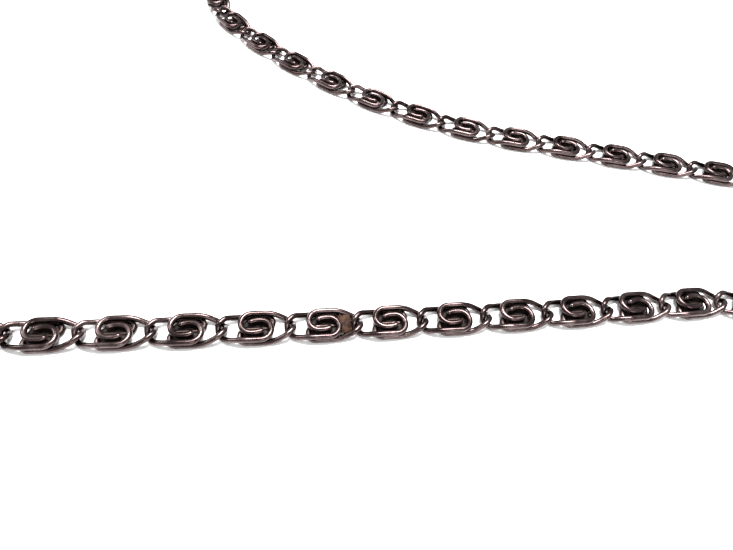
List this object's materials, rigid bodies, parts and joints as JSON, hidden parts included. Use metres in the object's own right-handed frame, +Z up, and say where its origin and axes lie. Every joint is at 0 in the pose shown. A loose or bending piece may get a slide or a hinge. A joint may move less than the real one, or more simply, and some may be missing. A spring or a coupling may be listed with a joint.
{
  "type": "chain necklace",
  "caption": "Dark-plated scroll link necklace with a lobster clasp, lying unfastened in a loose loop on a flat surface.",
  "frame": {"origin": "on the surface the necklace lies on, under the middle of its outline", "axes": "+X along the front strand from the clasp end towards the loop, +Y from the front strand to the back strand, +Z up from the surface"},
  "size_m": [0.2024, 0.1348, 0.0033],
  "materials": {
    "links": "black-nickel plate over brass wire, polished, dark in the crevices",
    "rings": "black-nickel plate, polished",
    "clasp": "black-nickel plate over a casting, polished, worn at the edges",
    "rivet": "turned steel pin ends",
    "spring": "spring strip"
  },
  "bodies": {
    "link_01": {"link_01": "links"},
    "link_02": {"link_02": "links"},
    "link_03": {"link_03": "links"},
    "link_04": {"link_04": "links"},
    "link_05": {"link_05": "links"},
    "link_06": {"link_06": "links"},
    "link_07": {"link_07": "links"},
    "link_08": {"link_08": "links"},
    "link_09": {"link_09": "links"},
    "link_10": {"link_10": "links"},
    "link_11": {"link_11": "links"},
    "link_12": {"link_12": "links"},
    "link_13": {"link_13": "links"},
    "link_14": {"link_14": "links"},
    "link_15": {"link_15": "links"},
    "link_16": {"link_16": "links"},
    "link_17": {"link_17": "links"},
    "link_18": {"link_18": "links"},
    "link_19": {"link_19": "links"},
    "link_20": {"link_20": "links"},
    "link_21": {"link_21": "links"},
    "link_22": {"link_22": "links"},
    "link_23": {"link_23": "links"},
    "link_24": {"link_24": "links"},
    "link_25": {"link_25": "links"},
    "link_26": {"link_26": "links"},
    "link_27": {"link_27": "links"},
    "link_28": {"link_28": "links"},
    "link_29": {"link_29": "links"},
    "link_30": {"link_30": "links"},
    "link_31": {"link_31": "links"},
    "link_32": {"link_32": "links"},
    "link_33": {"link_33": "links"},
    "link_34": {"link_34": "links"},
    "link_35": {"link_35": "links"},
    "link_36": {"link_36": "links"},
    "link_37": {"link_37": "links"},
    "link_38": {"link_38": "links"},
    "link_39": {"link_39": "links"},
    "link_40": {"link_40": "links"},
    "link_41": {"link_41": "links"},
    "link_42": {"link_42": "links"},
    "link_43": {"link_43": "links"},
    "link_44": {"link_44": "links"},
    "link_45": {"link_45": "links"},
    "link_46": {"link_46": "links"},
    "link_47": {"link_47": "links"},
    "link_48": {"link_48": "links"},
    "link_49": {"link_49": "links"},
    "link_50": {"link_50": "links"},
    "jump_ring": {"clasp_jump_ring": "rings"},
    "clasp": {"clasp_body": "clasp", "clasp_rivet": "rivet", "clasp_spring": "spring"},
    "lever": {"clasp_lever": "clasp"},
    "end_ring": {"end_ring": "rings"}
  },
  "joints": [
    {"name": "side_24_25", "type": "hinge", "parent": "link_24", "child": "link_25", "pos_m": [0.09905, -0.03654, 0.0008], "axis": [0, 0, 1], "range_deg": [-46.64, 3.36]},
    {"name": "drape_25_26", "type": "hinge", "parent": "link_25", "child": "link_26", "pos_m": [0.09871, -0.02804, 0.0008], "axis": [-0.9738, -0.2275, 0], "range_deg": [-18, 18]},
    {"name": "side_26_27", "type": "hinge", "parent": "link_26", "child": "link_27", "pos_m": [0.09525, -0.02028, 0.0008], "axis": [0, 0, -1], "range_deg": [-3.36, 46.64]},
    {"name": "drape_27_28", "type": "hinge", "parent": "link_27", "child": "link_28", "pos_m": [0.08918, -0.01433, 0.0008], "axis": [0.553, 0.8332, 0], "range_deg": [-18, 18]},
    {"name": "side_28_29", "type": "hinge", "parent": "link_28", "child": "link_29", "pos_m": [0.08134, -0.01104, 0.0008], "axis": [0, 0, -1], "range_deg": [-3.36, 46.64]},
    {"name": "drape_29_30", "type": "hinge", "parent": "link_29", "child": "link_30", "pos_m": [0.07284, -0.01088, 0.0008], "axis": [-0.0597, 0.9982, 0], "range_deg": [-25, 25]},
    {"name": "side_30_31", "type": "hinge", "parent": "link_30", "child": "link_31", "pos_m": [0.06442, -0.01205, 0.0008], "axis": [0, 0, 1], "range_deg": [-21.48, 28.52]},
    {"name": "drape_31_32", "type": "hinge", "parent": "link_31", "child": "link_32", "pos_m": [0.05595, -0.01271, 0.0008], "axis": [0.0466, -0.9989, 0], "range_deg": [-25, 25]},
    {"name": "side_32_33", "type": "hinge", "parent": "link_32", "child": "link_33", "pos_m": [0.04745, -0.01285, 0.0008], "axis": [0, 0, 1], "range_deg": [-21.48, 28.52]},
    {"name": "drape_33_34", "type": "hinge", "parent": "link_33", "child": "link_34", "pos_m": [0.03896, -0.01246, 0.0008], "axis": [-0.0464, -0.9989, 0], "range_deg": [-25, 25]},
    {"name": "side_34_35", "type": "hinge", "parent": "link_34", "child": "link_35", "pos_m": [0.03047, -0.01206, 0.0008], "axis": [0, 0, -1], "range_deg": [-25.1, 24.9]},
    {"name": "drape_35_36", "type": "hinge", "parent": "link_35", "child": "link_36", "pos_m": [0.02198, -0.01164, 0.0008], "axis": [0.0499, 0.9988, 0], "range_deg": [-25, 25]},
    {"name": "side_36_37", "type": "hinge", "parent": "link_36", "child": "link_37", "pos_m": [0.01349, -0.01121, 0.0008], "axis": [0, 0, -1], "range_deg": [-25.1, 24.9]},
    {"name": "drape_37_38", "type": "hinge", "parent": "link_37", "child": "link_38", "pos_m": [0.005, -0.01076, 0.0008], "axis": [0.103, 0.9947, 0], "range_deg": [-25, 25]},
    {"name": "side_38_39", "type": "hinge", "parent": "link_38", "child": "link_39", "pos_m": [-0.0034, -0.00946, 0.0008], "axis": [0, 0, 1], "range_deg": [-19.2, 30.8]},
    {"name": "drape_39_40", "type": "hinge", "parent": "link_39", "child": "link_40", "pos_m": [-0.01162, -0.00732, 0.0008], "axis": [-0.3009, -0.9537, 0], "range_deg": [-25, 25]},
    {"name": "side_40_41", "type": "hinge", "parent": "link_40", "child": "link_41", "pos_m": [-0.01959, -0.00435, 0.0008], "axis": [0, 0, 1], "range_deg": [-19.2, 30.8]},
    {"name": "drape_41_42", "type": "hinge", "parent": "link_41", "child": "link_42", "pos_m": [-0.02721, -0.0006, 0.0008], "axis": [-0.4727, -0.8812, 0], "range_deg": [-25, 25]},
    {"name": "side_42_43", "type": "hinge", "parent": "link_42", "child": "link_43", "pos_m": [-0.03456, 0.00368, 0.0008], "axis": [0, 0, -1], "range_deg": [-30, 20]},
    {"name": "drape_43_44", "type": "hinge", "parent": "link_43", "child": "link_44", "pos_m": [-0.04151, 0.00858, 0.0008], "axis": [0.6322, 0.7748, 0], "range_deg": [-25, 25]},
    {"name": "side_44_45", "type": "hinge", "parent": "link_44", "child": "link_45", "pos_m": [-0.0477, 0.0144, 0.0008], "axis": [0, 0, -1], "range_deg": [-49, 1]},
    {"name": "drape_45_46", "type": "hinge", "parent": "link_45", "child": "link_46", "pos_m": [-0.05099, 0.02224, 0.0008], "axis": [0.9789, 0.2043, 0], "range_deg": [-18, 18]},
    {"name": "side_46_47", "type": "hinge", "parent": "link_46", "child": "link_47", "pos_m": [-0.05111, 0.03073, 0.0008], "axis": [0, 0, 1], "range_deg": [-15, 35]},
    {"name": "drape_47_48", "type": "hinge", "parent": "link_47", "child": "link_48", "pos_m": [-0.04975, 0.03912, 0.0008], "axis": [-0.991, 0.1342, 0], "range_deg": [-25, 25]},
    {"name": "side_48_49", "type": "hinge", "parent": "link_48", "child": "link_49", "pos_m": [-0.04883, 0.04757, 0.0008], "axis": [0, 0, 1], "range_deg": [-31, 19]},
    {"name": "drape_49_50", "type": "hinge", "parent": "link_49", "child": "link_50", "pos_m": [-0.0488, 0.05607, 0.0008], "axis": [-0.9988, -0.0487, 0], "range_deg": [-25, 25]},
    {"name": "drape_23_24", "type": "hinge", "parent": "link_24", "child": "link_23", "pos_m": [0.09624, -0.04456, 0.0008], "axis": [-0.8649, 0.502, 0], "range_deg": [-18, 18]},
    {"name": "side_22_23", "type": "hinge", "parent": "link_23", "child": "link_22", "pos_m": [0.09067, -0.05098, 0.0008], "axis": [0, 0, 1], "range_deg": [-3.36, 46.64]},
    {"name": "drape_21_22", "type": "hinge", "parent": "link_22", "child": "link_21", "pos_m": [0.08313, -0.05489, 0.0008], "axis": [0.2855, -0.9584, 0], "range_deg": [-18, 18]},
    {"name": "side_20_21", "type": "hinge", "parent": "link_21", "child": "link_20", "pos_m": [0.07467, -0.05575, 0.0008], "axis": [0, 0, -1], "range_deg": [-46.64, 3.36]},
    {"name": "drape_19_20", "type": "hinge", "parent": "link_20", "child": "link_19", "pos_m": [0.06649, -0.05342, 0.0008], "axis": [-0.4492, -0.8934, 0], "range_deg": [-18, 18]},
    {"name": "side_18_19", "type": "hinge", "parent": "link_19", "child": "link_18", "pos_m": [0.05975, -0.04825, 0.0008], "axis": [0, 0, -1], "range_deg": [-26.94, 23.06]},
    {"name": "drape_17_18", "type": "hinge", "parent": "link_18", "child": "link_17", "pos_m": [0.05319, -0.04285, 0.0008], "axis": [0.5087, 0.861, 0], "range_deg": [-22, 22]},
    {"name": "side_16_17", "type": "hinge", "parent": "link_17", "child": "link_16", "pos_m": [0.04529, -0.0397, 0.0008], "axis": [0, 0, 1], "range_deg": [-33, 7.25]},
    {"name": "drape_15_16", "type": "hinge", "parent": "link_16", "child": "link_15", "pos_m": [0.03681, -0.03912, 0.0008], "axis": [-0.0859, 0.9963, 0], "range_deg": [-22, 22]},
    {"name": "side_14_15", "type": "hinge", "parent": "link_15", "child": "link_14", "pos_m": [0.02855, -0.04114, 0.0008], "axis": [0, 0, 1], "range_deg": [-24.67, 25.33]},
    {"name": "drape_13_14", "type": "hinge", "parent": "link_14", "child": "link_13", "pos_m": [0.02029, -0.04312, 0.0008], "axis": [0.2301, -0.9732, 0], "range_deg": [-25, 25]},
    {"name": "side_12_13", "type": "hinge", "parent": "link_13", "child": "link_12", "pos_m": [0.01201, -0.04506, 0.0008], "axis": [0, 0, -1], "range_deg": [-25.33, 24.67]},
    {"name": "drape_11_12", "type": "hinge", "parent": "link_12", "child": "link_11", "pos_m": [0.00372, -0.04694, 0.0008], "axis": [0.2189, -0.9757, 0], "range_deg": [-25, 25]},
    {"name": "side_10_11", "type": "hinge", "parent": "link_11", "child": "link_10", "pos_m": [-0.00458, -0.04878, 0.0008], "axis": [0, 0, -1], "range_deg": [-25.33, 24.67]},
    {"name": "drape_09_10", "type": "hinge", "parent": "link_10", "child": "link_09", "pos_m": [-0.01289, -0.05057, 0.0008], "axis": [-0.2077, 0.9782, 0], "range_deg": [-25, 25]},
    {"name": "side_08_09", "type": "hinge", "parent": "link_09", "child": "link_08", "pos_m": [-0.02121, -0.05231, 0.0008], "axis": [0, 0, 1], "range_deg": [-24.67, 25.33]},
    {"name": "drape_07_08", "type": "hinge", "parent": "link_08", "child": "link_07", "pos_m": [-0.02954, -0.054, 0.0008], "axis": [-0.1964, 0.9805, 0], "range_deg": [-25, 25]},
    {"name": "side_06_07", "type": "hinge", "parent": "link_07", "child": "link_06", "pos_m": [-0.03788, -0.05565, 0.0008], "axis": [0, 0, 1], "range_deg": [-24.67, 25.33]},
    {"name": "drape_05_06", "type": "hinge", "parent": "link_06", "child": "link_05", "pos_m": [-0.04622, -0.05724, 0.0008], "axis": [0.1851, -0.9827, 0], "range_deg": [-25, 25]},
    {"name": "side_04_05", "type": "hinge", "parent": "link_05", "child": "link_04", "pos_m": [-0.05458, -0.05879, 0.0008], "axis": [0, 0, -1], "range_deg": [-26.85, 23.15]},
    {"name": "drape_03_04", "type": "hinge", "parent": "link_04", "child": "link_03", "pos_m": [-0.06298, -0.06007, 0.0008], "axis": [0.1344, -0.9909, 0], "range_deg": [-25, 25]},
    {"name": "side_02_03", "type": "hinge", "parent": "link_03", "child": "link_02", "pos_m": [-0.07143, -0.06108, 0.0008], "axis": [0, 0, -1], "range_deg": [-22.2, 27.8]},
    {"name": "drape_01_02", "type": "hinge", "parent": "link_02", "child": "link_01", "pos_m": [-0.07981, -0.0625, 0.0008], "axis": [-0.1908, 0.9816, 0], "range_deg": [-25, 25]},
    {"name": "jump_ring_swing", "type": "hinge", "parent": "link_01", "child": "jump_ring", "pos_m": [-0.08852, -0.06441, 0.0008], "axis": [-0.1561, 0.7101, 0.6866], "range_deg": [-30, 30]},
    {"name": "clasp_turn", "type": "hinge", "parent": "jump_ring", "child": "clasp", "pos_m": [-0.09075, -0.06429, 0.0013], "axis": [0, 0, 1], "range_deg": [-40, 40]},
    {"name": "lever_open", "type": "hinge", "parent": "clasp", "child": "lever", "pos_m": [-0.09465, -0.06382, 0.0013], "axis": [0, 0, 1], "range_deg": [0, 22], "stiffness_Nm_per_rad": 0.01, "springref_deg": -11.46},
    {"name": "end_ring_swing", "type": "hinge", "parent": "link_50", "child": "end_ring", "pos_m": [-0.04965, 0.06448, 0.0008], "axis": [-0.7233, -0.0733, -0.6866], "range_deg": [0, 22]}
  ]
}
